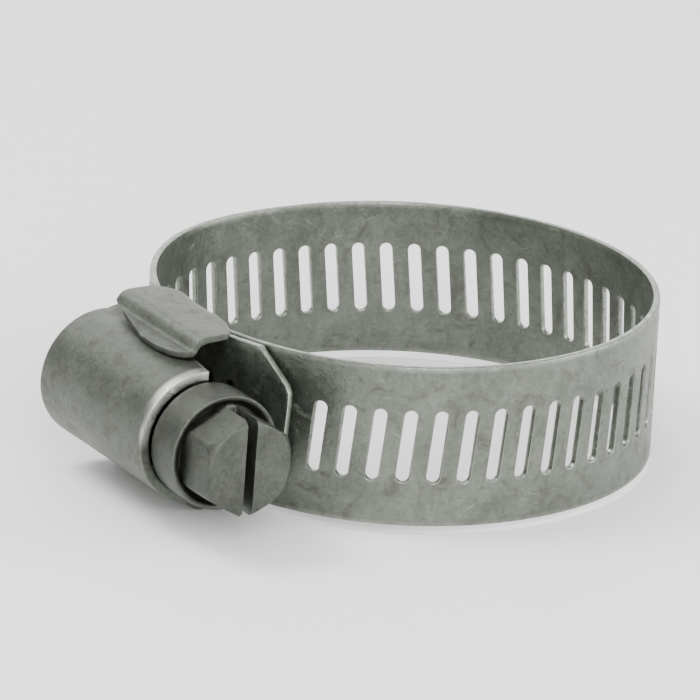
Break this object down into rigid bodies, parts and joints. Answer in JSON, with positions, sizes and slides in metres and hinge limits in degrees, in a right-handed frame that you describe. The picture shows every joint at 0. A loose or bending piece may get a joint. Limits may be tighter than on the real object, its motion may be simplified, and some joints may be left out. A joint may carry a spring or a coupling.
{
  "type": "hose clamp",
  "caption": "Worm-drive hose clamp: a slotted steel band closed to a ring by a slotted hexagon-head screw in a pressed housing, with the band's free tail lying under the screw head.",
  "frame": {"origin": "centre of the ring, halfway up the band's width", "axes": "+Z along the ring's axis; +X along the screw's axis, from the housing towards the screw's head; the housing stands at -Y"},
  "size_m": [0.0445, 0.0542, 0.0162],
  "materials": {
    "band": "dull rolled stainless steel",
    "housing": "dull pressed stainless steel",
    "saddle": "dull pressed stainless steel",
    "screw": "dark dull steel"
  },
  "bodies": {
    "housing": {"housing": "housing", "saddle": "saddle", "band_fixed_end": "band"},
    "screw": {"worm_screw": "screw"},
    "band_segment_01": {"band_segment_01": "band"},
    "band_segment_02": {"band_segment_02": "band"},
    "band_segment_03": {"band_segment_03": "band"},
    "band_segment_04": {"band_segment_04": "band"},
    "band_segment_05": {"band_segment_05": "band"},
    "band_segment_06": {"band_segment_06": "band"},
    "band_segment_07": {"band_segment_07": "band"},
    "band_segment_08": {"band_segment_08": "band"},
    "band_segment_09": {"band_segment_09": "band"},
    "band_segment_10": {"band_segment_10": "band"},
    "band_entry": {"band_entry": "band"},
    "band_tail": {"band_tail": "band"}
  },
  "joints": [
    {"name": "screw_spin", "type": "hinge", "parent": "housing", "child": "screw", "pos_m": [0, -0.0261, 0], "axis": [-1, 0, 0], "range_deg": [-288, 1260]},
    {"name": "tail_travel", "type": "hinge", "parent": "housing", "child": "band_tail", "pos_m": [0, 0.0015, 0], "axis": [0, 0, 1], "range_deg": [-5.08, 22.17]},
    {"name": "band_flex_01", "type": "hinge", "parent": "housing", "child": "band_segment_01", "pos_m": [0.01252, -0.01746, 0], "axis": [0, 0, 1], "range_deg": [-0.79, 3.38]},
    {"name": "band_flex_02", "type": "hinge", "parent": "band_segment_01", "child": "band_segment_02", "pos_m": [0.01954, -0.00999, 0], "axis": [0, 0, 1], "range_deg": [-0.4, 1.66]},
    {"name": "band_flex_03", "type": "hinge", "parent": "band_segment_02", "child": "band_segment_03", "pos_m": [0.02195, -0.00002, 0], "axis": [0, 0, 1], "range_deg": [-0.28, 1.16]},
    {"name": "band_flex_04", "type": "hinge", "parent": "band_segment_03", "child": "band_segment_04", "pos_m": [0.01956, 0.00996, 0], "axis": [0, 0, 1], "range_deg": [-0.35, 1.48]},
    {"name": "band_flex_05", "type": "hinge", "parent": "band_segment_04", "child": "band_segment_05", "pos_m": [0.01289, 0.01777, 0], "axis": [0, 0, 1], "range_deg": [-0.51, 2.14]},
    {"name": "band_flex_06", "type": "hinge", "parent": "band_segment_05", "child": "band_segment_06", "pos_m": [0.00341, 0.02168, 0], "axis": [0, 0, 1], "range_deg": [-0.59, 2.51]},
    {"name": "band_flex_07", "type": "hinge", "parent": "band_segment_06", "child": "band_segment_07", "pos_m": [-0.00683, 0.02086, 0], "axis": [0, 0, 1], "range_deg": [-0.52, 2.22]},
    {"name": "band_flex_08", "type": "hinge", "parent": "band_segment_07", "child": "band_segment_08", "pos_m": [-0.01556, 0.01548, 0], "axis": [0, 0, 1], "range_deg": [-0.38, 1.58]},
    {"name": "band_flex_09", "type": "hinge", "parent": "band_segment_08", "child": "band_segment_09", "pos_m": [-0.0209, 0.00671, 0], "axis": [0, 0, 1], "range_deg": [-0.3, 1.24]},
    {"name": "band_flex_10", "type": "hinge", "parent": "band_segment_09", "child": "band_segment_10", "pos_m": [-0.02195, -0.00354, 0], "axis": [0, 0, 1], "range_deg": [-0.39, 1.65]},
    {"name": "band_flex_11", "type": "hinge", "parent": "band_segment_10", "child": "band_entry", "pos_m": [-0.01834, -0.01309, 0], "axis": [0, 0, 1], "range_deg": [-0.74, 3.16]}
  ],
  "couplings": [
    {"joint": "tail_travel", "follows": "screw_spin", "ratio": 0.017578},
    {"joint": "band_flex_01", "follows": "screw_spin", "ratio": 0.002665},
    {"joint": "band_flex_02", "follows": "screw_spin", "ratio": 0.0013049},
    {"joint": "band_flex_03", "follows": "screw_spin", "ratio": 0.0009067},
    {"joint": "band_flex_04", "follows": "screw_spin", "ratio": 0.0011546},
    {"joint": "band_flex_05", "follows": "screw_spin", "ratio": 0.0016845},
    {"joint": "band_flex_06", "follows": "screw_spin", "ratio": 0.0019794},
    {"joint": "band_flex_07", "follows": "screw_spin", "ratio": 0.0017485},
    {"joint": "band_flex_08", "follows": "screw_spin", "ratio": 0.0012394},
    {"joint": "band_flex_09", "follows": "screw_spin", "ratio": 0.0009708},
    {"joint": "band_flex_10", "follows": "screw_spin", "ratio": 0.0012931},
    {"joint": "band_flex_11", "follows": "screw_spin", "ratio": 0.0024925}
  ]
}
